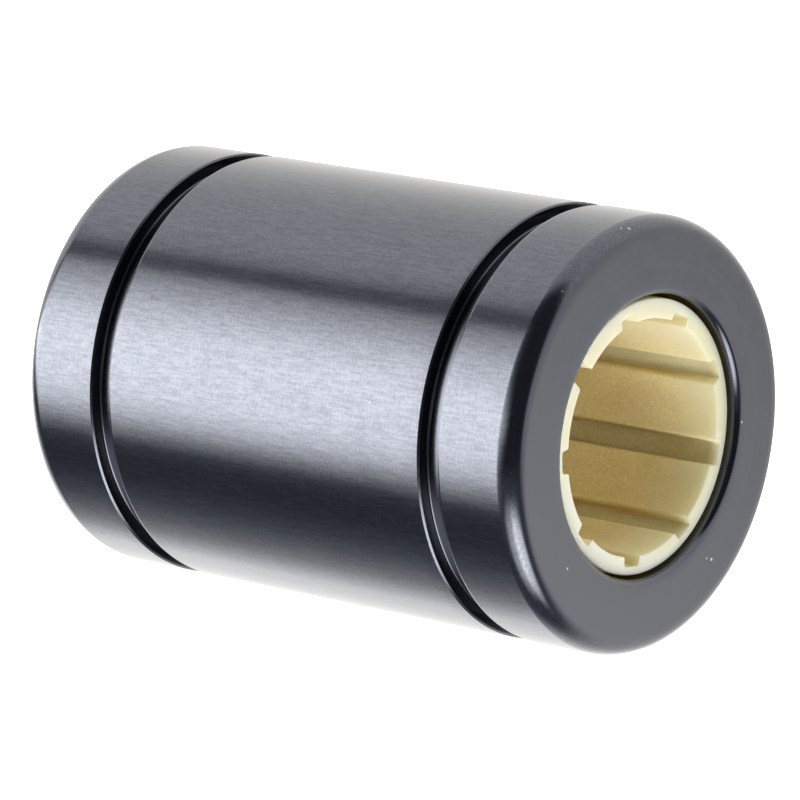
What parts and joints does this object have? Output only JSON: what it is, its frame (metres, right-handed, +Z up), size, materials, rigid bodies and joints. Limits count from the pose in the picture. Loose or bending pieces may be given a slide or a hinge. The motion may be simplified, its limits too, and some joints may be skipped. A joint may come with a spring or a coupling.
{
  "type": "plain linear bushing",
  "caption": "Cylindrical dry-running linear bushing: dark anodised sleeve with two ring grooves and a grooved polymer liner that guides a round shaft.",
  "frame": {"origin": "on the bore axis at mid-length", "axes": "+X along the bore axis towards the front end, +Z up with the bushing lying on its side"},
  "size_m": [0.032, 0.022, 0.022],
  "materials": {
    "anodised_aluminium": "hard-anodised dark grey, fine lengthwise brushing outside, turned smooth ends",
    "bearing_polymer": "satin cream self-lubricating polymer"
  },
  "bodies": {
    "sleeve": {"outer_sleeve": "anodised_aluminium"},
    "liner": {"polymer_liner": "bearing_polymer"}
  },
  "joints": [
    {"name": "liner_slide", "type": "slide", "parent": "sleeve", "child": "liner", "axis": [1, 0, 0], "range_m": [-0.033, 0.033]}
  ]
}
